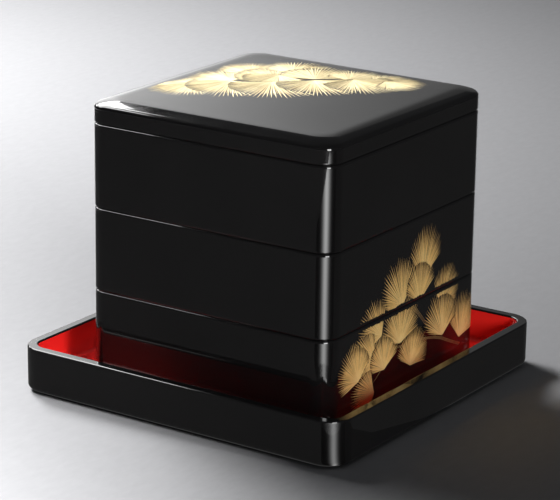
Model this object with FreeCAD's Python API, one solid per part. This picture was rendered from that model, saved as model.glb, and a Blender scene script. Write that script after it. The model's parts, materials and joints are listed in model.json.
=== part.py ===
import FreeCAD, Part
import math
import os

# A square three-tier lunch box of lacquered wood, with a flush lid, standing in its own tray.
# Every tier and the lid locate in the opening below by an inset ring, and all of them lift off.
# Millimetres, +Z up. The origin is the centre of the underside that the tray rests on. The box is
# loose in the tray, and stands a little forward of its middle.

# Driving dimensions of the box
BOX_WIDTH = 195.0
BOX_CORNER = 14.0
TIER_PITCH = 58.3
TIER_WALL = 6.0
TIER_NAMES = ("bottom", "middle", "top")
TIER_TOP_ROUNDING = 2.0
TIER_FOOT_ROUNDING = 1.5
INNER_EDGE_ROUNDING = 1.0

# A tier's floor board is let into a rebate at the foot of its side band.
FLOOR_THICKNESS = 5.0
FLOOR_REBATE = 2.5

# A foot ring or lip reaches this far into the opening below, with this gap all round.
NEST_DEPTH = 4.8
NEST_CLEARANCE = 0.75
FOOT_RING_WIDTH = 6.0
RING_EDGE_ROUNDING = 1.2

# The lid: a side band, a rolled-over and slightly crowned top board, and a stepped lip.
LID_HEIGHT = 17.0
LID_BAND_HEIGHT = 8.6
LID_EDGE_LAND = 1.0
LID_SHOULDER_RADIUS = 4.0
LID_SHOULDER_ANGLE = 68.0
LID_ROLL_END_ANGLE = 88.2
LID_HOLLOW_DEPTH = 2.4
LID_LIP_WIDTH = 4.5

# Driving dimensions of the tray
TRAY_WIDTH = 260.0
TRAY_CORNER = 18.0
TRAY_HEIGHT = 33.5
TRAY_WALL = 7.2
TRAY_BAND_FOOT = 2.3
TRAY_FLOOR_TOP = 9.5
TRAY_FLOOR_THICKNESS = 6.0
TRAY_RIM_ROUNDING = 1.0
TRAY_EDGE_ROUNDING = 3.5
TRAY_FOOT_INSET = 12.0
TRAY_FOOT_WIDTH = 8.0
TRAY_FOOT_ROUNDING = 0.6

# How far in front of the tray's middle the box stands
BOX_FORWARD = 3.5

# Derived sizes and levels
OPENING_WIDTH = BOX_WIDTH - 2 * TIER_WALL
OPENING_CORNER = BOX_CORNER - TIER_WALL
NEST_WIDTH = OPENING_WIDTH - 2 * NEST_CLEARANCE
NEST_CORNER = OPENING_CORNER - NEST_CLEARANCE
FIRST_TIER_FOOT = TRAY_FLOOR_TOP + NEST_DEPTH
LID_FOOT = FIRST_TIER_FOOT + len(TIER_NAMES) * TIER_PITCH
LEVEL_TOLERANCE = 0.01


def rounded_square(width, corner, z):
    """Closed wire: a square with rounded corners, centred on the Z axis at height z."""
    half = width / 2
    flat = half - corner
    diagonal = flat + corner * math.sqrt(0.5)
    edges = []
    for quarter in range(4):
        turn = FreeCAD.Rotation(FreeCAD.Vector(0, 0, 1), 90 * quarter)
        side_start = turn.multVec(FreeCAD.Vector(half, -flat, z))
        side_end = turn.multVec(FreeCAD.Vector(half, flat, z))
        corner_middle = turn.multVec(FreeCAD.Vector(diagonal, diagonal, z))
        corner_end = turn.multVec(FreeCAD.Vector(flat, half, z))
        edges.append(Part.LineSegment(side_start, side_end).toShape())
        edges.append(Part.Arc(side_end, corner_middle, corner_end).toShape())
    return Part.Wire(edges)


def slab(width, corner, low, high):
    """Solid rounded square between two levels."""
    face = Part.Face(rounded_square(width, corner, low))
    return face.extrude(FreeCAD.Vector(0, 0, high - low))


def ring(width, corner, wall, low, high):
    """Rounded square ring of even wall between two levels."""
    outside = slab(width, corner, low, high)
    inside = slab(width - 2 * wall, corner - wall, low, high)
    return outside.cut(inside)


def outline_edges(shape, width, level):
    """Edges of the rounded square outline of that width at that level."""
    found = []
    for edge in shape.Edges:
        box = edge.BoundBox
        reach = max(box.XMax, -box.XMin, box.YMax, -box.YMin)
        level_gap = max(abs(box.ZMin - level), abs(box.ZMax - level))
        if level_gap < LEVEL_TOLERANCE and abs(reach - width / 2) < LEVEL_TOLERANCE:
            found.append(edge)
    return found


def rounded(shape, *outlines):
    """Round the outlines given as (width, level, radius)."""
    for width, level, radius in outlines:
        shape = shape.makeFillet(radius, outline_edges(shape, width, level))
    return shape


def tier_side_band(foot):
    """Upright wall of a tier, one band bent round four corners, rebated for its floor."""
    top = foot + TIER_PITCH
    rebate_width = OPENING_WIDTH + 2 * FLOOR_REBATE
    rebate_corner = OPENING_CORNER + FLOOR_REBATE
    band = ring(BOX_WIDTH, BOX_CORNER, TIER_WALL, foot, top)
    band = band.cut(slab(rebate_width, rebate_corner, foot, foot + FLOOR_THICKNESS))
    return rounded(
        band,
        (BOX_WIDTH, top, TIER_TOP_ROUNDING),
        (OPENING_WIDTH, top, INNER_EDGE_ROUNDING),
        (BOX_WIDTH, foot, TIER_FOOT_ROUNDING),
    )


def tier_floor_board(foot):
    """Flat floor, flush with the foot of the side band."""
    width = OPENING_WIDTH + 2 * FLOOR_REBATE
    corner = OPENING_CORNER + FLOOR_REBATE
    return slab(width, corner, foot, foot + FLOOR_THICKNESS)


def tier_foot_ring(foot):
    """Inset ring under the floor, which nests in the opening of the tier below."""
    low = foot - NEST_DEPTH
    foot_ring = ring(NEST_WIDTH, NEST_CORNER, FOOT_RING_WIDTH, low, foot)
    return rounded(foot_ring, (NEST_WIDTH, low, RING_EDGE_ROUNDING))


def lid_edge_profile(base):
    """Section through the lid's rolled edge, from the corner axis (x = 0) out to the side."""
    shoulder_start = base + LID_EDGE_LAND
    shoulder_centre_x = BOX_CORNER - LID_SHOULDER_RADIUS
    start_angle = math.radians(LID_SHOULDER_ANGLE)
    end_angle = math.radians(LID_ROLL_END_ANGLE)
    shoulder_end_x = shoulder_centre_x + LID_SHOULDER_RADIUS * math.cos(start_angle)
    shoulder_end_z = shoulder_start + LID_SHOULDER_RADIUS * math.sin(start_angle)
    roll_radius = shoulder_end_x / (math.cos(start_angle) - math.cos(end_angle))
    roll_centre_x = shoulder_end_x - roll_radius * math.cos(start_angle)
    roll_centre_z = shoulder_end_z - roll_radius * math.sin(start_angle)

    def shoulder_point(angle):
        x = shoulder_centre_x + LID_SHOULDER_RADIUS * math.cos(angle)
        return FreeCAD.Vector(x, 0, shoulder_start + LID_SHOULDER_RADIUS * math.sin(angle))

    def roll_point(angle):
        x = roll_centre_x + roll_radius * math.cos(angle)
        return FreeCAD.Vector(x, 0, roll_centre_z + roll_radius * math.sin(angle))

    axis_foot = FreeCAD.Vector(0, 0, base)
    side_foot = FreeCAD.Vector(BOX_CORNER, 0, base)
    side_top = FreeCAD.Vector(BOX_CORNER, 0, shoulder_start)
    shoulder_end = shoulder_point(start_angle)
    axis_top = FreeCAD.Vector(0, 0, roll_point(end_angle).z)
    shoulder = Part.Arc(side_top, shoulder_point(start_angle / 2), shoulder_end)
    roll = Part.Arc(shoulder_end, roll_point((start_angle + end_angle) / 2), axis_top)
    edges = [
        Part.LineSegment(axis_foot, side_foot).toShape(),
        Part.LineSegment(side_foot, side_top).toShape(),
        shoulder.toShape(),
        roll.toShape(),
        Part.LineSegment(axis_top, axis_foot).toShape(),
    ]
    return Part.Face(Part.Wire(edges)), axis_top.z


def crown(half, level, rise):
    """Shallow lens on a square: level all round its edge, and higher by rise in the middle."""
    surface = Part.BezierSurface()
    surface.increase(2, 2)
    for row, x in enumerate((-half, 0, half)):
        for column, y in enumerate((-half, 0, half)):
            lift = 4 * rise if x == 0 and y == 0 else 0
            surface.setPole(row + 1, column + 1, FreeCAD.Vector(x, y, level + lift))
    corners = [(-half, -half), (half, -half), (half, half), (-half, half), (-half, -half)]
    base = Part.Face(Part.makePolygon([FreeCAD.Vector(x, y, level) for x, y in corners]))
    lens = Part.Solid(Part.Shell([surface.toShape(), base]))
    if lens.Volume < 0:
        lens.reverse()
    return lens


def lid_top_board():
    """Top of the lid: a crowned board whose edges roll over into the sides, hollowed beneath."""
    base = LID_FOOT + LID_BAND_HEIGHT
    flat = BOX_WIDTH / 2 - BOX_CORNER
    profile, roll_top = lid_edge_profile(base)
    crown_rise = LID_FOOT + LID_HEIGHT - roll_top
    board = Part.makeBox(2 * flat, 2 * flat, roll_top - base, FreeCAD.Vector(-flat, -flat, base))
    board = board.fuse(crown(flat, roll_top, crown_rise))
    up = FreeCAD.Vector(0, 0, 1)
    for quarter in range(4):
        edge_roll = profile.extrude(FreeCAD.Vector(0, 2 * flat, 0))
        edge_roll.translate(FreeCAD.Vector(flat, -flat, 0))
        corner_roll = profile.revolve(FreeCAD.Vector(0, 0, 0), up, 90)
        corner_roll.translate(FreeCAD.Vector(flat, flat, 0))
        for piece in (edge_roll, corner_roll):
            piece.rotate(FreeCAD.Vector(0, 0, 0), up, 90 * quarter)
            board = board.fuse(piece)
    board = board.removeSplitter()
    hollow_width = OPENING_WIDTH - 2 * LID_LIP_WIDTH
    hollow_corner = OPENING_CORNER - LID_LIP_WIDTH
    return board.cut(slab(hollow_width, hollow_corner, base, base + LID_HOLLOW_DEPTH))


def lid_side_band():
    """Upright side of the lid, flush with the tiers."""
    top = LID_FOOT + LID_BAND_HEIGHT
    band = ring(BOX_WIDTH, BOX_CORNER, TIER_WALL, LID_FOOT, top)
    return rounded(band, (BOX_WIDTH, LID_FOOT, TIER_FOOT_ROUNDING))


def lid_locating_lip():
    """Stepped ring inside the lid, which nests in the opening of the top tier."""
    top = LID_FOOT + LID_BAND_HEIGHT
    low = LID_FOOT - NEST_DEPTH
    inner_width = OPENING_WIDTH - 2 * LID_LIP_WIDTH
    inner_corner = OPENING_CORNER - LID_LIP_WIDTH
    lip = slab(OPENING_WIDTH, OPENING_CORNER, LID_FOOT, top)
    lip = lip.fuse(slab(NEST_WIDTH, NEST_CORNER, low, LID_FOOT))
    lip = lip.cut(slab(inner_width, inner_corner, low, top))
    return rounded(
        lip,
        (NEST_WIDTH, low, RING_EDGE_ROUNDING),
        (inner_width, low, INNER_EDGE_ROUNDING),
    )


def tray_side_band():
    """Upright wall of the tray, with a rounded rim and a fuller rounding at its foot."""
    inner_width = TRAY_WIDTH - 2 * TRAY_WALL
    band = ring(TRAY_WIDTH, TRAY_CORNER, TRAY_WALL, TRAY_BAND_FOOT, TRAY_HEIGHT)
    return rounded(
        band,
        (TRAY_WIDTH, TRAY_HEIGHT, TRAY_RIM_ROUNDING),
        (inner_width, TRAY_HEIGHT, TRAY_RIM_ROUNDING),
        (TRAY_WIDTH, TRAY_BAND_FOOT, TRAY_EDGE_ROUNDING),
    )


def tray_floor_board():
    """Floor of the tray, held inside its side band."""
    width = TRAY_WIDTH - 2 * TRAY_WALL
    corner = TRAY_CORNER - TRAY_WALL
    return slab(width, corner, TRAY_FLOOR_TOP - TRAY_FLOOR_THICKNESS, TRAY_FLOOR_TOP)


def tray_foot_ring():
    """Recessed ring under the tray, the only part that touches the table."""
    width = TRAY_WIDTH - 2 * TRAY_FOOT_INSET
    corner = TRAY_CORNER - TRAY_FOOT_INSET / 2
    top = TRAY_FLOOR_TOP - TRAY_FLOOR_THICKNESS
    foot_ring = ring(width, corner, TRAY_FOOT_WIDTH, 0, top)
    inner_width = width - 2 * TRAY_FOOT_WIDTH
    return rounded(foot_ring, (width, 0, TRAY_FOOT_ROUNDING), (inner_width, 0, TRAY_FOOT_ROUNDING))


def make_tray():
    """The pieces of the tray by their node names."""
    return {
        "tray_side_band": tray_side_band(),
        "tray_floor_board": tray_floor_board(),
        "tray_foot_ring": tray_foot_ring(),
    }


def make_box():
    """The pieces of the lid and the tiers by their node names, where they stand in the tray."""
    parts = {
        "lid_side_band": lid_side_band(),
        "lid_top_board": lid_top_board(),
        "lid_locating_lip": lid_locating_lip(),
    }
    for index, name in enumerate(TIER_NAMES):
        foot = FIRST_TIER_FOOT + index * TIER_PITCH
        parts[f"{name}_tier_side_band"] = tier_side_band(foot)
        parts[f"{name}_tier_floor_board"] = tier_floor_board(foot)
        parts[f"{name}_tier_foot_ring"] = tier_foot_ring(foot)
    for shape in parts.values():
        shape.translate(FreeCAD.Vector(0, -BOX_FORWARD, 0))
    return parts


os.makedirs("parts", exist_ok=True)
for node, shape in {**make_tray(), **make_box()}.items():
    shape.exportStep(f"parts/{node}.step")
    box = shape.BoundBox
    print(
        f"{node}: solids {len(shape.Solids)}, valid {shape.isValid()}, volume {shape.Volume / 1000:.1f} cm3,"
        f" z {box.ZMin:.2f} to {box.ZMax:.2f}, width {box.XLength:.2f} by {box.YLength:.2f}"
    )
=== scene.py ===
import json
import math
import random

import bpy
from mathutils import Matrix, Vector

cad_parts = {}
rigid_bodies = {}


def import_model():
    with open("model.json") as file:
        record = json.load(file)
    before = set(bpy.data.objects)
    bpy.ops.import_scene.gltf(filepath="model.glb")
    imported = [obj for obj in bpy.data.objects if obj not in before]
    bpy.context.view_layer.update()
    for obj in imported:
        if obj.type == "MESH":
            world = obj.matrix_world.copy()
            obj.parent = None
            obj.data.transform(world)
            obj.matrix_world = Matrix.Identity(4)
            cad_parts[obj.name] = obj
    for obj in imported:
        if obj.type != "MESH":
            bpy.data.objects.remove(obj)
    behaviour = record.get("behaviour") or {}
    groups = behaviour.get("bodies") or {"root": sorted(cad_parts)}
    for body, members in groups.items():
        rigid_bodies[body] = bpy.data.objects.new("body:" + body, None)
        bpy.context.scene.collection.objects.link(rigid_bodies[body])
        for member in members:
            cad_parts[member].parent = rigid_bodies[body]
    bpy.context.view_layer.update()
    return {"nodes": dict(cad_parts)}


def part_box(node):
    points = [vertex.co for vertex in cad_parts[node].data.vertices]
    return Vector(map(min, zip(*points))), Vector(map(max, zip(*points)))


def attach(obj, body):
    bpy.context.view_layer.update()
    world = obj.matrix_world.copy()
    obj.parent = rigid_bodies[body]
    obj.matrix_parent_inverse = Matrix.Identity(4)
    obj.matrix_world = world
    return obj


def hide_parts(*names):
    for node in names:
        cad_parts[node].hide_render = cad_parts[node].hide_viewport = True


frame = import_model()

MM = 0.001
TIERS = ("bottom", "middle", "top")

# Sizes that the CAD nodes' boxes don't give
BOX_CORNER = 14.0 * MM
TRAY_CORNER = 18.0 * MM
NEST_CLEARANCE = 0.75 * MM
COAT = 0.3 * MM
LIP_WIDTH = 4.5 * MM

# Roundings of the lacquered edges
TIER_TOP_ROUNDING = 2.0 * MM
TIER_FOOT_ROUNDING = 1.5 * MM
INNER_EDGE_ROUNDING = 1.0 * MM
TRAY_RIM_ROUNDING = 1.0 * MM
TRAY_EDGE_ROUNDING = 3.5 * MM
FINE_ROUNDING = 0.2 * MM
COAT_ROUNDING = 0.05 * MM
TIER_COVE = 3.0 * MM
TRAY_COVE = 3.5 * MM
LID_COVE = 1.5 * MM

# Where the flat face that closes a swept plate begins: so far in from a board's outline, so far past a
# lining's cove, and so far from the middle of the lid's crown
BOARD_FACE = 3.0 * MM
LINING_FACE = 1.0 * MM
CROWN_FACE = 1.0 * MM

# How finely curves are cut
CORNER_STEPS = 24
EDGE_STEPS = 8


# ---------------------------------------------------------------- mesh making

def outline(half, corner):
    """Stations round a rounded square: each is (x, y, outward x, outward y)."""
    stations = []
    flat = half - corner
    for quarter in range(4):
        for step in range(CORNER_STEPS + 1):
            angle = math.radians(90 * quarter + 90 * step / CORNER_STEPS)
            turn = math.radians(90 * quarter)
            centre_x = flat * (math.cos(turn) - math.sin(turn))
            centre_y = flat * (math.sin(turn) + math.cos(turn))
            out_x, out_y = math.cos(angle), math.sin(angle)
            stations.append((centre_x + corner * out_x, centre_y + corner * out_y, out_x, out_y))
    return stations


def rounded_profile(corners, closed=True):
    """Section of a swept piece, from (inset, z, radius) corners taken with the solid on the right.

    Gives (inset, z, normal inset, normal z) points, with every corner replaced by its arc."""
    points = []
    count = len(corners)
    for index, (inset, z, radius) in enumerate(corners):
        here = Vector((inset, z))
        if not closed and index in (0, count - 1):
            other = corners[1] if index == 0 else corners[-2]
            along = (Vector(other[:2]) - here).normalized()
            if index:
                along = -along
            points.append((here.x, here.y, -along.y, along.x))
            continue
        before = (here - Vector(corners[index - 1][:2])).normalized()
        after = (Vector(corners[(index + 1) % count][:2]) - here).normalized()
        turn = math.atan2(before.x * after.y - before.y * after.x, before.dot(after))
        trim = radius * math.tan(abs(turn) / 2)
        side = 1 if turn > 0 else -1
        start = here - before * trim
        normal = Vector((-before.y, before.x))
        centre = start + normal * radius * side
        for step in range(EDGE_STEPS + 1):
            swing = Matrix.Rotation(turn * step / EDGE_STEPS, 2)
            arm = swing @ (normal * -side)
            points.append((*(centre + arm * radius), *(arm * -side)))
    return points


def build_mesh(name, vertices, normals, faces):
    """Object with these faces, smooth, with the given vertex normals."""
    mesh = bpy.data.meshes.new(name)
    mesh.from_pydata([tuple(v) for v in vertices], [], faces)
    mesh.validate()
    mesh.shade_smooth()
    mesh.normals_split_custom_set_from_vertices([tuple(n) for n in normals])
    mesh.update()
    piece = bpy.data.objects.new(name, mesh)
    bpy.context.scene.collection.objects.link(piece)
    return piece


def sweep_faces(across, around, closed=False):
    """Quads of a section swept round, with its two ends closed by flat faces if it is open."""
    faces = []
    for i in range(around):
        ahead = (i + 1) % around
        for j in range(across if closed else across - 1):
            up = (j + 1) % across
            faces.append((i * across + j, ahead * across + j, ahead * across + up, i * across + up))
    if not closed:
        faces.append(tuple(i * across for i in reversed(range(around))))
        faces.append(tuple(i * across + across - 1 for i in range(around)))
    return faces


def swept(name, middle, half, corner, profile, closed):
    """Section swept round a rounded square about a middle."""
    stations = outline(half, corner)
    vertices, normals = [], []
    for x, y, out_x, out_y in stations:
        for inset, z, normal_inset, normal_z in profile:
            vertices.append((middle.x + x - out_x * inset, middle.y + y - out_y * inset, z))
            normals.append((-out_x * normal_inset, -out_y * normal_inset, normal_z))
    return build_mesh(name, vertices, normals, sweep_faces(len(profile), len(stations), closed))


def swept_ring(name, middle, half, corner, profile):
    """Closed section swept round a rounded square."""
    return swept(name, middle, half, corner, profile, closed=True)


def swept_plate(name, middle, half, corner, profile):
    """Open section swept round a rounded square, its two ends closed by flat faces."""
    return swept(name, middle, half, corner, profile, closed=False)


# ---------------------------------------------------------------- materials

def node_material(name):
    """New material, with its node tree, its Principled shader and its object coordinates."""
    material = bpy.data.materials.new(name)
    material.use_nodes = True
    tree = material.node_tree
    shader = tree.nodes["Principled BSDF"]
    place = tree.nodes.new("ShaderNodeTexCoord")
    return material, tree, shader, place.outputs["Object"]


def noise(tree, place, scale, detail, rough=0.55, stretch=None):
    """Noise over the object's own coordinates, in metres, stretched along its axes if asked."""
    if stretch is not None:
        mapping = tree.nodes.new("ShaderNodeMapping")
        mapping.inputs["Scale"].default_value = stretch
        tree.links.new(place, mapping.inputs["Vector"])
        place = mapping.outputs["Vector"]
    texture = tree.nodes.new("ShaderNodeTexNoise")
    texture.inputs["Scale"].default_value = scale
    texture.inputs["Detail"].default_value = detail
    texture.inputs["Roughness"].default_value = rough
    tree.links.new(place, texture.inputs["Vector"])
    return texture.outputs["Fac"]


def colour_ramp(tree, factor, *stops):
    """Ramp through (position, colour) stops."""
    ramp = tree.nodes.new("ShaderNodeValToRGB")
    ramp.color_ramp.elements[0].position = stops[0][0]
    ramp.color_ramp.elements[0].color = (*stops[0][1], 1)
    ramp.color_ramp.elements[1].position = stops[-1][0]
    ramp.color_ramp.elements[1].color = (*stops[-1][1], 1)
    for position, colour in stops[1:-1]:
        element = ramp.color_ramp.elements.new(position)
        element.color = (*colour, 1)
    tree.links.new(factor, ramp.inputs["Fac"])
    return ramp.outputs["Color"]


def value_range(tree, factor, low, high, start=0.3, end=0.7):
    """Factor spread so that start becomes low and end becomes high."""
    spread = tree.nodes.new("ShaderNodeMapRange")
    spread.inputs["From Min"].default_value = start
    spread.inputs["From Max"].default_value = end
    spread.inputs["To Min"].default_value = low
    spread.inputs["To Max"].default_value = high
    tree.links.new(factor, spread.inputs["Value"])
    return spread.outputs["Result"]


def mix_colour(tree, factor, first, second):
    """Colours mixed by factor."""
    mix = tree.nodes.new("ShaderNodeMix")
    mix.data_type = "RGBA"
    tree.links.new(factor, mix.inputs["Factor"])
    tree.links.new(first, mix.inputs["A"])
    tree.links.new(second, mix.inputs["B"])
    return mix.outputs["Result"]


def bump(tree, height, distance, strength=1.0, below=None):
    """Bump of that height in metres."""
    relief = tree.nodes.new("ShaderNodeBump")
    relief.inputs["Distance"].default_value = distance
    relief.inputs["Strength"].default_value = strength
    tree.links.new(height, relief.inputs["Height"])
    if below is not None:
        tree.links.new(below, relief.inputs["Normal"])
    return relief.outputs["Normal"]


def lacquer(name, deep, light, worn, base_roughness, coat_roughness):
    """Hand-polished lacquer: a pigmented coat under a clear one, worn a little along its edges."""
    material, tree, shader, place = node_material(name)
    cloud = noise(tree, place, 14.0, 4.0)
    pigment = colour_ramp(tree, cloud, (0.30, deep), (0.70, light))
    geometry = tree.nodes.new("ShaderNodeNewGeometry")
    edge = value_range(tree, geometry.outputs["Pointiness"], 0.0, 1.0, 0.515, 0.60)
    rub = value_range(tree, noise(tree, place, 160.0, 5.0, 0.7), 0.0, 1.0, 0.42, 0.72)
    wear = tree.nodes.new("ShaderNodeMath")
    wear.operation = "MULTIPLY"
    tree.links.new(edge, wear.inputs[0])
    tree.links.new(rub, wear.inputs[1])
    worn_colour = colour_ramp(tree, rub, (0.0, worn), (1.0, worn))
    colour = mix_colour(tree, wear.outputs["Value"], pigment, worn_colour)
    tree.links.new(colour, shader.inputs["Base Color"])
    haze = value_range(tree, noise(tree, place, 38.0, 5.0, 0.6), *base_roughness)
    tree.links.new(haze, shader.inputs["Roughness"])
    shader.inputs["IOR"].default_value = 1.5
    shader.inputs["Specular IOR Level"].default_value = 0.1
    shader.inputs["Coat Weight"].default_value = 1.0
    shader.inputs["Coat Roughness"].default_value = coat_roughness
    shader.inputs["Coat IOR"].default_value = 1.5
    flow = bump(tree, noise(tree, place, 22.0, 1.0, 0.4), 0.00006)
    fine = bump(tree, noise(tree, place, 900.0, 2.0, 0.5), 0.0000012, below=flow)
    tree.links.new(fine, shader.inputs["Normal"])
    tree.links.new(flow, shader.inputs["Coat Normal"])
    return material


def gold_powder(name, pale, warm, dusk, roughness):
    """Gold powder sprinkled into wet lacquer and burnished: paler and fuller where it lies thick, with a
    painted highlight along each stroke's ridge and painted shade along its edges.
    """
    material, tree, shader, place = node_material(name)
    # The point attribute holds how thick the powder lies, raised along each ridge as a painted highlight and
    # lowered along each edge as painted shade.
    powder_and_sheen = tree.nodes.new("ShaderNodeAttribute")
    powder_and_sheen.attribute_name = "cover"
    patch = value_range(tree, noise(tree, place, 70.0, 4.0, 0.6), -0.16, 0.16)
    grain = noise(tree, place, 2600.0, 2.0, 0.7)
    uneven = tree.nodes.new("ShaderNodeMath")
    uneven.operation = "ADD"
    tree.links.new(powder_and_sheen.outputs["Fac"], uneven.inputs[0])
    tree.links.new(patch, uneven.inputs[1])
    grained = tree.nodes.new("ShaderNodeMath")
    grained.operation = "ADD"
    tree.links.new(uneven.outputs["Value"], grained.inputs[0])
    tree.links.new(value_range(tree, grain, -0.15, 0.15), grained.inputs[1])
    colour = colour_ramp(tree, grained.outputs["Value"], (0.0, dusk), (0.45, warm), (0.95, pale))
    tree.links.new(colour, shader.inputs["Base Color"])
    tree.links.new(value_range(tree, grain, *roughness), shader.inputs["Roughness"])
    shader.inputs["Metallic"].default_value = 0.85
    tree.links.new(bump(tree, grain, 0.00004, 0.6), shader.inputs["Normal"])
    return material


BLACK = lacquer(
    "black_lacquer", deep=(0.0038, 0.0036, 0.0037), light=(0.0052, 0.0049, 0.0050),
    worn=(0.012, 0.007, 0.005), base_roughness=(0.10, 0.16), coat_roughness=0.035,
)
RED = lacquer(
    "vermilion_lacquer", deep=(0.56, 0.010, 0.010), light=(0.70, 0.020, 0.014), worn=(0.40, 0.012, 0.010),
    base_roughness=(0.16, 0.24), coat_roughness=0.05,
)
GOLD = gold_powder(
    "gold_powder", pale=(0.98, 0.74, 0.33), warm=(0.85, 0.55, 0.19), dusk=(0.34, 0.21, 0.09),
    roughness=(0.52, 0.66),
)
# Paler, greyer copy of the gold powder for the lid: painted glare, standing for the sheen that the lid's
# gold catches from the lights behind it.
LID_GLARE_GOLD = gold_powder(
    "pale_gold_powder", pale=(0.90, 0.80, 0.50), warm=(0.68, 0.56, 0.32), dusk=(0.30, 0.21, 0.09),
    roughness=(0.58, 0.70),
)
BRONZE = gold_powder(
    "bronze_powder", pale=(0.62, 0.43, 0.19), warm=(0.44, 0.28, 0.12), dusk=(0.26, 0.16, 0.07),
    roughness=(0.40, 0.56),
)


def finish_piece(piece, material, body, slot, *nodes):
    """Gives a piece its material and its body, and hides the CAD nodes that it stands for. Its slot is not
    used.
    """
    piece.data.materials.clear()
    piece.data.materials.append(material)
    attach(piece, body)
    if nodes:
        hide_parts(*nodes)
    return piece


def lacquer_cad_node(node, material):
    """Gives a CAD node that keeps its own shape a lacquered finish."""
    piece = frame["nodes"][node]
    piece.data.materials.clear()
    piece.data.materials.append(material)


# ---------------------------------------------------------------- the tray

def half_width(node):
    """Half the width of a square node."""
    low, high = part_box(node)
    return (high.x - low.x) / 2


def middle_of(node):
    """Middle of a node's box."""
    low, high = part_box(node)
    return (low + high) / 2


def lined_wall(low, high, wall, floor_top, roundings, rebate):
    """Section of a black side wall whose inner face is set back for its red lining."""
    foot_rounding, rim_rounding, inner_rounding = roundings
    step = high - inner_rounding - COAT
    corners = [
        (0, low, foot_rounding),
        (0, high, rim_rounding),
        (wall, high, inner_rounding),
        (wall, step, COAT_ROUNDING),
        (wall - COAT, step, COAT_ROUNDING),
    ]
    if rebate > 0:
        corners += [
            (wall - COAT, floor_top - COAT, FINE_ROUNDING),
            (wall - rebate, floor_top - COAT, FINE_ROUNDING),
            (wall - rebate, low, FINE_ROUNDING),
        ]
    else:
        corners.append((wall - COAT, low, FINE_ROUNDING))
    return rounded_profile(corners)


def lining_section(wall, top, floor_top, cove):
    """Section of the red coat: down the inner wall, round a cove and along the floor."""
    back = wall - COAT
    reach = wall + cove + LINING_FACE
    return rounded_profile([
        (reach, floor_top - COAT, 0),
        (back, floor_top - COAT, COAT_ROUNDING),
        (back, top, COAT_ROUNDING),
        (wall, top, COAT_ROUNDING),
        (wall, floor_top, cove),
        (reach, floor_top, 0),
    ], closed=False)


def board_section(low, high):
    """Section of a flat board."""
    return rounded_profile([
        (BOARD_FACE, low, 0),
        (0, low, FINE_ROUNDING),
        (0, high, FINE_ROUNDING),
        (BOARD_FACE, high, 0),
    ], closed=False)


def make_tray():
    """The tray: black wall and floor, red lining, and the CAD foot ring lacquered black."""
    half, middle = half_width("tray_side_band"), middle_of("tray_side_band")
    low, high = (corner.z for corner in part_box("tray_side_band"))
    floor_half = half_width("tray_floor_board")
    floor_low, floor_top = (corner.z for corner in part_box("tray_floor_board"))
    wall = half - floor_half
    corner = TRAY_CORNER
    roundings = (TRAY_EDGE_ROUNDING, TRAY_RIM_ROUNDING, TRAY_RIM_ROUNDING)
    section = lined_wall(low, high, wall, floor_top, roundings, 0)
    wall_piece = swept_ring("tray_wall", middle, half, corner, section)
    finish_piece(wall_piece, BLACK, "tray", "black_lacquer", "tray_side_band")
    lining_top = high - TRAY_RIM_ROUNDING - COAT
    section = lining_section(wall, lining_top, floor_top, TRAY_COVE)
    lining = swept_plate("tray_lining", middle, half, corner, section)
    finish_piece(lining, RED, "tray", "vermilion_lacquer")
    section = board_section(floor_low, floor_top - COAT)
    board = swept_plate("tray_floor", middle, floor_half - COAT, corner - wall + COAT, section)
    finish_piece(board, BLACK, "tray", "black_lacquer", "tray_floor_board")
    lacquer_cad_node("tray_foot_ring", BLACK)


# ---------------------------------------------------------------- the tiers

def tier_wall_thickness():
    """Wall of a tier, from the ring that nests inside it."""
    return half_width("middle_tier_side_band") - half_width("middle_tier_foot_ring") - NEST_CLEARANCE


def make_tier(name):
    """One tier: black wall and floor, red lining, and the CAD foot ring lacquered black."""
    band, board, ring = f"{name}_tier_side_band", f"{name}_tier_floor_board", f"{name}_tier_foot_ring"
    body = f"{name}_tier"
    half, middle = half_width(band), middle_of(band)
    low, high = (corner.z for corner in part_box(band))
    floor_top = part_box(board)[1].z
    wall = tier_wall_thickness()
    rebate = half_width(board) - (half - wall)
    roundings = (TIER_FOOT_ROUNDING, TIER_TOP_ROUNDING, INNER_EDGE_ROUNDING)
    section = lined_wall(low, high, wall, floor_top, roundings, rebate)
    wall_piece = swept_ring(f"{name}_tier_wall", middle, half, BOX_CORNER, section)
    finish_piece(wall_piece, BLACK, body, "black_lacquer", band)
    lining_top = high - INNER_EDGE_ROUNDING - COAT
    section = lining_section(wall, lining_top, floor_top, TIER_COVE)
    lining = swept_plate(f"{name}_tier_lining", middle, half, BOX_CORNER, section)
    finish_piece(lining, RED, body, "vermilion_lacquer")
    section = board_section(low, floor_top - COAT)
    board_corner = BOX_CORNER - wall + rebate
    board_piece = swept_plate(f"{name}_tier_floor", middle, half_width(board), board_corner, section)
    finish_piece(board_piece, BLACK, body, "black_lacquer", board)
    lacquer_cad_node(ring, BLACK)


# ---------------------------------------------------------------- the lid

SHOULDER_LAND = 1.0 * MM
SHOULDER_RADIUS = 4.0 * MM
SHOULDER_ANGLE = math.radians(68.0)
ROLL_END_ANGLE = math.radians(88.2)
LID_HOLLOW = 2.4 * MM
CROWN_RINGS = 24

# The lacquer stays this far under the CAD board's top, which leaves room for the gold
GOLD_ALLOWANCE = 0.12 * MM

LID_FOOT, LID_JOINT = (corner.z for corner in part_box("lid_side_band"))
LID_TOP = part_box("lid_top_board")[1].z


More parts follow.
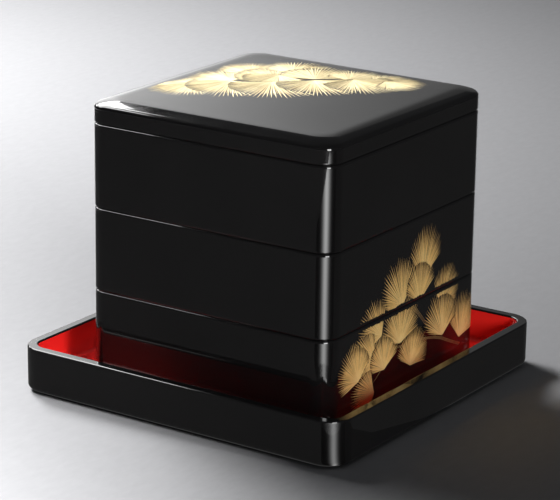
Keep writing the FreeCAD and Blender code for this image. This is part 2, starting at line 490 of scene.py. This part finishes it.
def lid_roll():
    """The two arcs of the rolled edge as (inset, z, normal inset, normal z) points, outside to inside."""
    start_z = LID_JOINT + SHOULDER_LAND
    points = []
    for step in range(EDGE_STEPS + 1):
        angle = SHOULDER_ANGLE * step / EDGE_STEPS
        inset = SHOULDER_RADIUS * (1 - math.cos(angle))
        z = start_z + SHOULDER_RADIUS * math.sin(angle)
        points.append((inset, z, -math.cos(angle), math.sin(angle)))
    inset, z = points[-1][:2]
    radius = (BOX_CORNER - inset) / (math.cos(SHOULDER_ANGLE) - math.cos(ROLL_END_ANGLE))
    steps = 2 * EDGE_STEPS
    for step in range(1, steps + 1):
        angle = SHOULDER_ANGLE + (ROLL_END_ANGLE - SHOULDER_ANGLE) * step / steps
        points.append((
            inset + radius * (math.cos(SHOULDER_ANGLE) - math.cos(angle)),
            z + radius * (math.sin(angle) - math.sin(SHOULDER_ANGLE)),
            -math.cos(angle),
            math.sin(angle),
        ))
    return points


def lid_crown(x, y, half, roll_end):
    """Height and slopes of the crowned top at a place from the lid's middle."""
    roll_inset, roll_z = roll_end
    rise = LID_TOP - GOLD_ALLOWANCE - roll_z
    reach = half - roll_inset
    across_x = max(1 - (x / reach) ** 2, 0.0)
    across_y = max(1 - (y / reach) ** 2, 0.0)
    slope_x = -2 * x / reach ** 2 * rise * across_y
    slope_y = -2 * y / reach ** 2 * rise * across_x
    return roll_z + rise * across_x * across_y, slope_x, slope_y


def make_lid():
    """The lid: one black shell with rolled edges and a crowned top, red lining, and the CAD lip in red."""
    half, middle = half_width("lid_side_band"), middle_of("lid_side_band")
    wall = tier_wall_thickness()
    lip_face = wall + LIP_WIDTH
    ceiling = LID_JOINT + LID_HOLLOW
    section = rounded_profile([
        (lip_face + BOARD_FACE, ceiling + COAT, 0),
        (lip_face - COAT, ceiling + COAT, FINE_ROUNDING),
        (lip_face - COAT, LID_JOINT, FINE_ROUNDING),
        (wall, LID_JOINT, FINE_ROUNDING),
        (wall, LID_FOOT, FINE_ROUNDING),
        (0, LID_FOOT, TIER_FOOT_ROUNDING),
        (0, LID_JOINT, 0),
    ], closed=False)
    underside = len(section) - 1
    roll = lid_roll()
    section = section[:-1] + roll
    roll_inset = roll[-1][0]
    crown_width = half - CROWN_FACE - roll_inset
    crown = [roll_inset + crown_width * ring / CROWN_RINGS for ring in range(1, CROWN_RINGS + 1)]
    stations = outline(half, BOX_CORNER)
    vertices, normals = [], []
    for x, y, out_x, out_y in stations:
        spread = (x * out_x + y * out_y) / half
        for index, (inset, z, normal_inset, normal_z) in enumerate(section):
            if index < underside:
                vertices.append((middle.x + x - out_x * inset, middle.y + y - out_y * inset, z))
                normals.append((-out_x * normal_inset, -out_y * normal_inset, normal_z))
            else:
                shrink = 1 - inset / half
                vertices.append((middle.x + x * shrink, middle.y + y * shrink, z))
                normal = Vector((-out_x * normal_inset, -out_y * normal_inset, normal_z * spread))
                normals.append(normal.normalized())
        for inset in crown:
            shrink = 1 - inset / half
            z, slope_x, slope_y = lid_crown(x * shrink, y * shrink, half, roll[-1][:2])
            vertices.append((middle.x + x * shrink, middle.y + y * shrink, z))
            normals.append(Vector((-slope_x, -slope_y, 1.0)).normalized())
    faces = sweep_faces(len(section) + CROWN_RINGS, len(stations))
    shell = build_mesh("lid_shell", vertices, normals, faces)
    finish_piece(shell, BLACK, "lid", "black_lacquer", "lid_side_band", "lid_top_board")
    reach = lip_face + LID_COVE + LINING_FACE
    section = rounded_profile([
        (reach, ceiling, 0),
        (lip_face, ceiling, LID_COVE),
        (lip_face, LID_JOINT, COAT_ROUNDING),
        (lip_face - COAT, LID_JOINT, COAT_ROUNDING),
        (lip_face - COAT, ceiling + COAT, COAT_ROUNDING),
        (reach, ceiling + COAT, 0),
    ], closed=False)
    lining = swept_plate("lid_lining", middle, half, BOX_CORNER, section)
    finish_piece(lining, RED, "lid", "vermilion_lacquer")
    lacquer_cad_node("lid_locating_lip", RED)


# ---------------------------------------------------------------- gold decoration

# A needle is a raised stroke of powder: its ridge rises, and its edges sink into the lacquer.
NEEDLE_WIDTH = 0.80 * MM
NEEDLE_RISE = 0.05 * MM
NEEDLE_SINK = 0.012 * MM
FAN_RISE_STEP = 0.003 * MM
# Each stroke's ridge is painted paler and its edges darker by this much: a painted highlight along the ridge
# and painted shade along the edges.
RIDGE_SHEEN_EDGE_SHADE = 0.14

# Needles of a fan: degrees from one to the next, how much shorter they are at its sides, and the share
# of its reach within which it hides the fans below
NEEDLE_PITCH = 2.0
SIDE_SHORTENING = 0.30
HIDDEN_SHARE = 0.82

# A needle starts at this share of its length, and bends by some degrees, more at the fan's sides
NEEDLE_START = 0.02
NEEDLE_BEND = 1.5
SIDE_BEND = 0.06

# Ranges that each needle's place in its pitch, reach, width and tone are drawn from
PLACE_RANGE = (0.3, 0.7)
REACH_RANGE = (0.96, 1.03)
WIDTH_RANGE = (0.85, 1.15)
TONE_RANGE = (-0.30, 0.20)

# Every other needle is short
SHORT_REACH = (0.78, 0.86)
SHORT_WIDTH = 1.05
SHORT_TONE = -0.22

# Steps along a line where it is tested against the fans above and the decorated area, and the share of
# its length that its direction is taken over
CHECKS_ALONG = 24
DIRECTION_SHARE = 0.01

# Straight pieces that a needle is cut into, on a flat and round a corner, and a branch
FLAT_PIECES = 6
ROUND_PIECES = 20
BRANCH_PIECES = 14

# A branch is three strokes side by side, in millimetres
BRANCH_OFFSETS = (-0.8, 0.0, 0.8)
BRANCH_SLANT = 0.6
BRANCH_WIDTH = 0.55
BRANCH_THINNING = 0.25
BRANCH_COVER = 0.4

# The gold stops this far from a seam between tiers, in millimetres
SEAM_GAP = 2.3

# Pine fans: (base u, base v, axis in degrees, half spread in degrees, length), in millimetres.
# On the front u is +X and v is +Z; on the lid u is +X and v is +Y. Later fans lie over earlier ones.
FRONT_FANS = [
    (44, 60, 60, 58, 31),
    (20, 86, 82, 52, 38),
    (-6, 74, 112, 64, 36),
    (16, 71, 94, 60, 33),
    (-32, 60, 140, 62, 32),
    (71, 30, 72, 62, 34),
    (48, 38, 98, 66, 36),
    (-8, 48, 92, 76, 34),
    (-40, 46, 160, 66, 31),
    (-60, 36, 118, 78, 30),
    (-28, 35, 102, 74, 28),
    (6, 28, 74, 78, 28),
    (-40, 22, 172, 68, 30),
]
LID_FANS = [
    (-20, 54, 108, 72, 29),
    (1, 47, 72, 74, 37),
    (27, 49, 36, 72, 35),
    (22, 26, 50, 78, 43),
    (45, 27, 22, 74, 37),
    (38, 4, 32, 78, 42),
    (50, -16, 8, 76, 33),
    (55, -33, 326, 70, 31),
    (-17, 67, 188, 72, 40),
    (0, 48, 204, 88, 46),
    (34, 31, 188, 76, 36),
    (15, 24, 217, 88, 49),
    (35, 3, 228, 88, 46),
    (53, -17, 240, 82, 43),
    (63, -37, 262, 70, 31),
]
FRONT_BRANCHES = [
    [(22, 88), (20, 80), (18, 74)],
    [(2, 76), (12, 66), (26, 52), (40, 38)],
    [(72, 25), (58, 31), (42, 38), (20, 43), (-2, 45), (-30, 50), (-56, 66)],
    [(-26, 40), (-36, 33), (-46, 27)],
]
LID_BRANCHES = [
    [(66, -4), (50, -2), (30, 14), (8, 30), (-22, 54), (-44, 76)],
    [(30, 14), (34, 36), (30, 56)],
]


def fan_reach(turn, half_spread, length):
    """How far a fan's needles go at that turn from its axis."""
    return length * (1 - SIDE_SHORTENING * (turn / half_spread) ** 2)


def under_fan(point, fans):
    """True where the point lies under one of these fans."""
    for u, v, axis, half_spread, length in fans:
        away_u, away_v = point[0] - u, point[1] - v
        turn = (math.degrees(math.atan2(away_v, away_u)) - axis + 180) % 360 - 180
        hidden = HIDDEN_SHARE * fan_reach(turn, half_spread, length)
        if abs(turn) < half_spread and math.hypot(away_u, away_v) < hidden:
            return True
    return False


def needle_line(base, axis, turn, reach, bend):
    """Centre line of one needle as a function of the share of its length."""
    first = math.radians(axis + turn - bend)
    last = math.radians(axis + turn + bend)
    middle = (base[0] + 0.5 * reach * math.cos(first), base[1] + 0.5 * reach * math.sin(first))
    end = (middle[0] + 0.5 * reach * math.cos(last), middle[1] + 0.5 * reach * math.sin(last))

    def at(share):
        near, far = (1 - share) ** 2, share ** 2
        across = 2 * share * (1 - share)
        return tuple(near * base[k] + across * middle[k] + far * end[k] for k in (0, 1))

    return at


def needle_width(share):
    """Width of a needle as a share of its widest, drawn out to a point at its tip."""
    growth = 0.45 + 0.55 * min(share / 0.6, 1.0)
    taper = 1.0 - 0.45 * max(share - 0.7, 0.0) / 0.3
    return growth * taper * (1 - share ** 20) + 0.03


def visible_spans(line, start, fans_over, allowed):
    """Stretches of a line that no later fan covers and that stay in the allowed area."""
    spans, current = [], []
    for step in range(CHECKS_ALONG + 1):
        share = start + (1 - start) * step / CHECKS_ALONG
        point = line(share)
        if allowed(*point) and not under_fan(point, fans_over):
            current.append(share)
        else:
            if len(current) > 1:
                spans.append((current[0], current[-1]))
            current = []
    if len(current) > 1:
        spans.append((current[0], current[-1]))
    return spans


class Relief:
    """Collects raised strokes on a surface and makes one mesh of them."""

    def __init__(self, place):
        self.place = place
        self.vertices = []
        self.faces = []
        self.cover = []

    def stroke(self, line, start, end, width_at, rise, cover_at, pieces):
        """Closed three-sided stroke along a line, between two shares of its length."""
        first = len(self.vertices)
        for step in range(pieces + 1):
            share = start + (end - start) * step / pieces
            u, v = line(share)
            ahead = line(min(share + DIRECTION_SHARE, 1.0))
            behind = line(max(share - DIRECTION_SHARE, 0.0))
            along = Vector((ahead[0] - behind[0], ahead[1] - behind[1])).normalized()
            half = width_at(share) / MM / 2
            ridge = rise * min(width_at(share) / NEEDLE_WIDTH, 1.0)
            self.vertices.append(self.place(u - along.y * half, v + along.x * half, -NEEDLE_SINK))
            self.vertices.append(self.place(u, v, ridge))
            self.vertices.append(self.place(u + along.y * half, v - along.x * half, -NEEDLE_SINK))
            cover = cover_at(share)
            # Painted highlight on the ridge point and painted shade on the two edge points.
            self.cover += [cover - RIDGE_SHEEN_EDGE_SHADE, cover + RIDGE_SHEEN_EDGE_SHADE, cover - RIDGE_SHEEN_EDGE_SHADE]
        for step in range(pieces):
            near, far = first + 3 * step, first + 3 * step + 3
            for side in range(3):
                other = (side + 1) % 3
                self.faces.append((near + side, far + side, far + other, near + other))
        last = first + 3 * pieces
        self.faces.append((first, first + 1, first + 2))
        self.faces.append((last + 2, last + 1, last))

    def build(self, name):
        """Mesh of the strokes, with how thick the powder lies on each point, plus a painted highlight on
        each ridge and painted shade on each edge.
        """
        mesh = bpy.data.meshes.new(name)
        mesh.from_pydata([tuple(v) for v in self.vertices], [], self.faces)
        cover = mesh.attributes.new("cover", "FLOAT", "POINT")
        cover.data.foreach_set("value", self.cover)
        mesh.update()
        piece = bpy.data.objects.new(name, mesh)
        bpy.context.scene.collection.objects.link(piece)
        return piece


def draw_fans(relief, fans, allowed, flat_to, seed, full, fade):
    """Strokes for the needles of every fan, long and short in turn. The powder lies at full near the base
    and loses fade by the tip. Needles that end past flat_to are cut finely, to follow a rounded corner."""
    draw = random.Random(seed)
    for index, (u, v, axis, half_spread, length) in enumerate(fans):
        count = 4 * int(half_spread / (2 * NEEDLE_PITCH))
        rise = NEEDLE_RISE + FAN_RISE_STEP * index
        for number in range(count):
            turn = half_spread * (2 * (number + draw.uniform(*PLACE_RANGE)) / count - 1)
            reach = fan_reach(turn, half_spread, length) * draw.uniform(*REACH_RANGE)
            width = NEEDLE_WIDTH * draw.uniform(*WIDTH_RANGE)
            tone = draw.uniform(*TONE_RANGE)
            if number % 2:
                reach *= draw.uniform(*SHORT_REACH)
                width *= SHORT_WIDTH
                tone += SHORT_TONE
            bend = draw.uniform(-NEEDLE_BEND, NEEDLE_BEND) + SIDE_BEND * turn
            line = needle_line((u, v), axis, turn, reach, bend)
            for start, end in visible_spans(line, NEEDLE_START, fans[index + 1:], allowed):
                relief.stroke(
                    line, start, end, lambda share: width * needle_width(share), rise,
                    lambda share: min(max(full + tone - fade * share, 0.0), 1.0),
                    pieces=FLAT_PIECES if abs(line(1.0)[0]) < flat_to else ROUND_PIECES,
                )


def spline_line(points):
    """Smooth line through points as a function of the share of its length."""
    def at(share):
        place = share * (len(points) - 1)
        index = min(int(place), len(points) - 2)
        local = place - index
        before, start = points[max(index - 1, 0)], points[index]
        end, after = points[index + 1], points[min(index + 2, len(points) - 1)]
        return tuple(
            0.5 * (2 * start[k] + (end[k] - before[k]) * local
                   + (2 * before[k] - 5 * start[k] + 4 * end[k] - after[k]) * local ** 2
                   + (3 * start[k] - before[k] - 3 * end[k] + after[k]) * local ** 3)
            for k in (0, 1)
        )
    return at


def branch_width(share):
    """Width of a branch's stroke, thinner towards its end."""
    return MM * (BRANCH_WIDTH - BRANCH_THINNING * share)


def branch_cover(share):
    """How thick the powder lies along a branch: the same everywhere."""
    return BRANCH_COVER


def draw_branches(relief, branches, allowed):
    """Three strokes side by side for each branch."""
    for points in branches:
        for offset in BRANCH_OFFSETS:
            shifted = [(u + offset, v + BRANCH_SLANT * offset) for u, v in points]
            line = spline_line(shifted)
            for start, end in visible_spans(line, 0.0, [], allowed):
                relief.stroke(line, start, end, branch_width, NEEDLE_RISE, branch_cover, BRANCH_PIECES)


def make_front_gold():
    """Pine fans on the front of the bottom and middle tiers, broken at the seam between them and carried
    round the corner."""
    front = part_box("middle_tier_side_band")[0].y
    round_from = (half_width("middle_tier_side_band") - BOX_CORNER) / MM
    side_end = round_from + BOX_CORNER / MM
    for name in ("bottom", "middle"):
        low, high = (corner.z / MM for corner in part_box(f"{name}_tier_side_band"))

        def allowed(u, v, low=low, high=high):
            return low + SEAM_GAP < v < high - SEAM_GAP and abs(u) < side_end

        def place(u, v, rise):
            turn = max(abs(u) - round_from, 0.0) * MM / BOX_CORNER
            side = math.copysign(1.0, u)
            x = min(abs(u), round_from) * MM + (BOX_CORNER + rise) * math.sin(turn)
            y = front + BOX_CORNER - (BOX_CORNER + rise) * math.cos(turn)
            return Vector((side * x, y, v * MM))

        fans = Relief(place)
        draw_fans(fans, FRONT_FANS, allowed, round_from, seed=11, full=1.10, fade=0.90)
        finish_piece(fans.build(f"{name}_tier_gold_fans"), GOLD, f"{name}_tier", "gold_powder")
        branches = Relief(place)
        draw_branches(branches, FRONT_BRANCHES, allowed)
        finish_piece(branches.build(f"{name}_tier_gold_branches"), BRONZE, f"{name}_tier", "gold_powder")


def make_lid_gold():
    """A band of pine fans across the far half of the lid."""
    half, middle = half_width("lid_side_band"), middle_of("lid_side_band")
    roll_end = lid_roll()[-1][:2]

    def allowed(u, v):
        return max(abs(u), abs(v)) * MM < half - BOX_CORNER

    def place(u, v, rise):
        height = lid_crown(u * MM, v * MM, half, roll_end)[0] + rise
        return Vector((middle.x + u * MM, middle.y + v * MM, height))

    fans = Relief(place)
    draw_fans(fans, LID_FANS, allowed, half / MM, seed=5, full=0.80, fade=0.15)
    # The lid's fans take the paler copy of the gold, whose colour is painted glare.
    finish_piece(fans.build("lid_gold_fans"), LID_GLARE_GOLD, "lid", "gold_powder")
    branches = Relief(place)
    draw_branches(branches, LID_BRANCHES, allowed)
    finish_piece(branches.build("lid_gold_branches"), BRONZE, "lid", "gold_powder")


# ---------------------------------------------------------------- stage, light and camera

FLOOR_WIDTH = 12.0

# Heights of the cards on the floor, of the dull ones under them, and of the level ones overhead
CARD_LIFT = 0.001
FLAG_LIFT = 0.0008
OVERHEAD = 0.75


def make_floor():
    """Pale paper floor with a fine fibre."""
    half = FLOOR_WIDTH / 2
    corners = [(-half, -half, 0), (half, -half, 0), (half, half, 0), (-half, half, 0)]
    mesh = bpy.data.meshes.new("floor")
    mesh.from_pydata(corners, [], [(0, 1, 2, 3)])
    floor = bpy.data.objects.new("floor", mesh)
    bpy.context.scene.collection.objects.link(floor)
    material, tree, shader, place = node_material("floor_pale")
    fibre = noise(tree, place, 150.0, 5.0, 0.7, stretch=(0.5, 1.0, 1.0))
    colour = colour_ramp(tree, fibre, (0.30, (0.505, 0.505, 0.520)), (0.70, (0.545, 0.545, 0.560)))
    tree.links.new(colour, shader.inputs["Base Color"])
    shader.inputs["Roughness"].default_value = 0.8
    shader.inputs["Specular IOR Level"].default_value = 0.0
    floor.data.materials.append(material)


def soft_light(name, place, aim, along, size, radiance):
    """Rectangular soft light of that radiance, facing the aim, its first side along a level direction."""
    data = bpy.data.lights.new(name, "AREA")
    data.shape = "RECTANGLE"
    data.size, data.size_y = size
    data.energy = radiance * math.pi * size[0] * size[1]
    light = bpy.data.objects.new(name, data)
    bpy.context.scene.collection.objects.link(light)
    light.location = place
    light.rotation_mode = "QUATERNION"
    back = (Vector(place) - Vector(aim)).normalized()
    side = Vector((*along, 0.0))
    side = (side - back * side.dot(back)).normalized()
    light.rotation_quaternion = Matrix((side, back.cross(side), back)).transposed().to_quaternion()
    light.visible_camera = False
    return light


def glow_card(name, ground, heading, corners, glow):
    """Flat card that only reflections see. Its corners are (x, y, z) from a point on the ground, with x
    along a level heading in degrees, and glow makes its strength from those coordinates."""
    mesh = bpy.data.meshes.new(name)
    mesh.from_pydata(corners, [], [tuple(range(len(corners)))])
    card = bpy.data.objects.new(name, mesh)
    bpy.context.scene.collection.objects.link(card)
    card.location = (*ground, 0.0)
    card.rotation_euler = (0.0, 0.0, math.radians(heading))
    material = bpy.data.materials.new(name)
    material.use_nodes = True
    tree = material.node_tree
    tree.nodes.clear()
    place = tree.nodes.new("ShaderNodeTexCoord").outputs["Object"]
    emission = tree.nodes.new("ShaderNodeEmission")
    tree.links.new(glow(tree, place), emission.inputs["Strength"])
    output = tree.nodes.new("ShaderNodeOutputMaterial")
    tree.links.new(emission.outputs["Emission"], output.inputs["Surface"])
    card.data.materials.append(material)
    for sense in ("visible_camera", "visible_shadow", "visible_diffuse", "visible_transmission"):
        setattr(card, sense, False)
    return card


def polar(turn, reach, height=CARD_LIFT):
    """Corner of a card at a turn in degrees and a reach from its origin."""
    angle = math.radians(turn)
    return (reach * math.cos(angle), reach * math.sin(angle), height)


def fading_glow(across, near, far):
    """Glow that falls off by steady shares across a card: from one strength to another over that width."""
    def glow(tree, place):
        split = tree.nodes.new("ShaderNodeSeparateXYZ")
        tree.links.new(place, split.inputs["Vector"])
        power = value_range(tree, split.outputs["Y"], math.log(near), math.log(far), *across)
        level = tree.nodes.new("ShaderNodeMath")
        level.operation = "EXPONENT"
        tree.links.new(power, level.inputs[0])
        return level.outputs["Value"]
    return glow


def beam_glow(spread, reach, near, far):
    """Glow strongest along a card's x axis, fading as a bell curve with a spread in degrees to either side,
    and changing from near to far over that reach."""
    def glow(tree, place):
        turn = tree.nodes.new("ShaderNodeTexGradient")
        turn.gradient_type = "RADIAL"
        tree.links.new(place, turn.inputs["Vector"])
        away = tree.nodes.new("ShaderNodeMath")
        away.operation = "SUBTRACT"
        away.inputs[1].default_value = 0.5
        tree.links.new(turn.outputs["Fac"], away.inputs[0])
        square = tree.nodes.new("ShaderNodeMath")
        square.operation = "MULTIPLY"
        tree.links.new(away.outputs["Value"], square.inputs[0])
        tree.links.new(away.outputs["Value"], square.inputs[1])
        distance = tree.nodes.new("ShaderNodeVectorMath")
        distance.operation = "LENGTH"
        tree.links.new(place, distance.inputs[0])
        power = tree.nodes.new("ShaderNodeMath")
        power.operation = "MULTIPLY_ADD"
        power.inputs[1].default_value = -0.5 * (360 / spread) ** 2
        tree.links.new(square.outputs["Value"], power.inputs[0])
        along = value_range(tree, distance.outputs["Value"], math.log(near), math.log(far), *reach)
        tree.links.new(along, power.inputs[2])
        level = tree.nodes.new("ShaderNodeMath")
        level.operation = "EXPONENT"
        tree.links.new(power.outputs["Value"], level.inputs[0])
        return level.outputs["Value"]
    return glow


def even_glow(strength):
    """The same glow all over a card."""
    return fading_glow((-1.0, 1.0), strength, strength)


def light_only(light, name, *words):
    """Lets a light fall only on the pieces with one of these words in their names."""
    lit = bpy.data.collections.new(name)
    for piece in bpy.data.objects:
        if piece.type == "MESH" and any(word in piece.name for word in words):
            lit.objects.link(piece)
    light.light_linking.receiver_collection = lit


def make_lights():
    """One key light behind on the left and a wash on the floor, and small lights for the gold, the lacquered
    edges and the tray's lining."""
    soft_light("key_softbox", (0.33, 1.05, 1.10), (-0.08, 1.32, 0.0), (0.88, 0.47), (0.7, 0.5), 33.0)
    along = (-0.42, -0.91)
    wash = soft_light("floor_wash", (-0.57, 0.06, 0.68), (-1.40, 0.66, 0.0), along, (1.0, 0.5), 21.0)
    wash.visible_glossy = False
    along = (0.81, -0.58)
    gold_light = soft_light("gold_softbox", (-0.93, -1.30, 0.22), (0.0, 0.0, 0.08), along, (0.5, 0.95), 28.0)
    light_only(gold_light, "gold_pieces", "gold")
    edge_light = soft_light("edge_softbox", (-0.93, -1.30, 0.50), (0.0, 0.0, 0.08), along, (0.5, 0.95), 14.0)
    light_only(edge_light, "lacquered_pieces", "wall", "shell")
    along = (0.92, -0.38)
    tray_light = soft_light("tray_softbox", (-0.60, -1.45, 0.55), (0.0, 0.0, 0.02), along, (0.4, 0.4), 60.0)
    tray_light.visible_glossy = False
    light_only(tray_light, "tray_inside", "tray_lining")
    world = bpy.data.worlds.new("studio")
    world.use_nodes = True
    world.node_tree.nodes["Background"].inputs["Color"].default_value = (0.94, 0.96, 1.0, 1)
    world.node_tree.nodes["Background"].inputs["Strength"].default_value = 0.045
    bpy.context.scene.world = world


def make_cards():
    """Cards for the lacquer to reflect: bright ones that draw its edges, and dull ones that keep its sides
    dark."""
    reaches = [(-50, 0.52), (-26, 0.571), (-15, 0.615), (-2, 0.68), (12, 0.74), (50, 0.85)]
    glow_card(
        "box_corner_card", (-0.088, -0.092), 225.0,
        [polar(turn, reach) for turn, reach in reaches] + [polar(50, 0.17), polar(-50, 0.17)],
        beam_glow(10.5, (0.2, 0.65), 5.6, 7.6),
    )
    glow_card(
        "tray_corner_card", (-0.1184, -0.1184), 231.0,
        [polar(turn, 0.125) for turn in (-50, -25, 0, 25, 50)] + [polar(50, 0.012), polar(-50, 0.012)],
        beam_glow(9.5, (0.01, 0.12), 3.5, 3.5),
    )
    near_edge = [(-0.45, 0.50), (-0.3, 0.46), (0.0, 0.48), (0.27, 0.53), (0.49, 0.65)]
    far_edge = [(0.8, 0.85), (0.6, 1.1), (-0.45, 1.1)]
    glow_card(
        "edge_card", (0.0, 0.0), 0.0, [(x, y, OVERHEAD) for x, y in near_edge + far_edge], even_glow(10.0),
    )
    glow_card(
        "seam_card", (0.0, 0.0), 79.0,
        [polar(turn, reach, OVERHEAD) for turn, reach in ((-9, 1.3), (-9, 2.1), (9, 2.1), (9, 1.3))],
        even_glow(10.0),
    )
    glow_card(
        "back_card", (0.0, 0.0), 33.7,
        [(2.4, 1.3, 0.02), (2.4, -1.3, 0.02), (2.4, -1.3, 1.5), (2.4, 1.3, 1.5)],
        fading_glow((0.45, -0.45), 1.8, 0.110),
    )
    left_corners = [(-14, 1.0), (60, 2.2), (132, 1.4), (144, 0.24)]
    right_corners = [(-110, 0.16), (-100, 1.6), (-8, 1.6), (-30, 0.17)]
    for name, heading, corners, glow in (
        ("left_flag", 90.0, left_corners, 0.10),
        ("right_flag", 0.0, right_corners, 0.05),
    ):
        corners = [polar(turn, reach, FLAG_LIFT) for turn, reach in corners]
        glow_card(name, (0.0, 0.0), heading, corners, even_glow(glow))


FOCAL_LENGTH = 163.6
CAMERA_PLACE = (-1.3909, -0.9274, 0.6131)
CAMERA_AIM = (0.79387, 0.53049, -0.29725)
CAMERA_TILT = math.radians(0.73)


def make_camera():
    """Camera at the photograph's angle: from the front left, a little above, and turned slightly."""
    data = bpy.data.cameras.new("camera")
    data.lens = FOCAL_LENGTH
    data.clip_start, data.clip_end = 0.05, 40
    camera = bpy.data.objects.new("camera", data)
    bpy.context.scene.collection.objects.link(camera)
    camera.location = CAMERA_PLACE
    aim = Vector(CAMERA_AIM)
    tilt = Matrix.Rotation(CAMERA_TILT, 3, "Z")
    camera.rotation_mode = "QUATERNION"
    camera.rotation_quaternion = (aim.to_track_quat("-Z", "Y").to_matrix() @ tilt).to_quaternion()
    bpy.context.scene.camera = camera


make_tray()
for tier in TIERS:
    make_tier(tier)
make_lid()
make_front_gold()
make_lid_gold()
make_floor()
make_lights()
make_cards()
make_camera()
bpy.context.scene.view_settings.view_transform = "Standard"
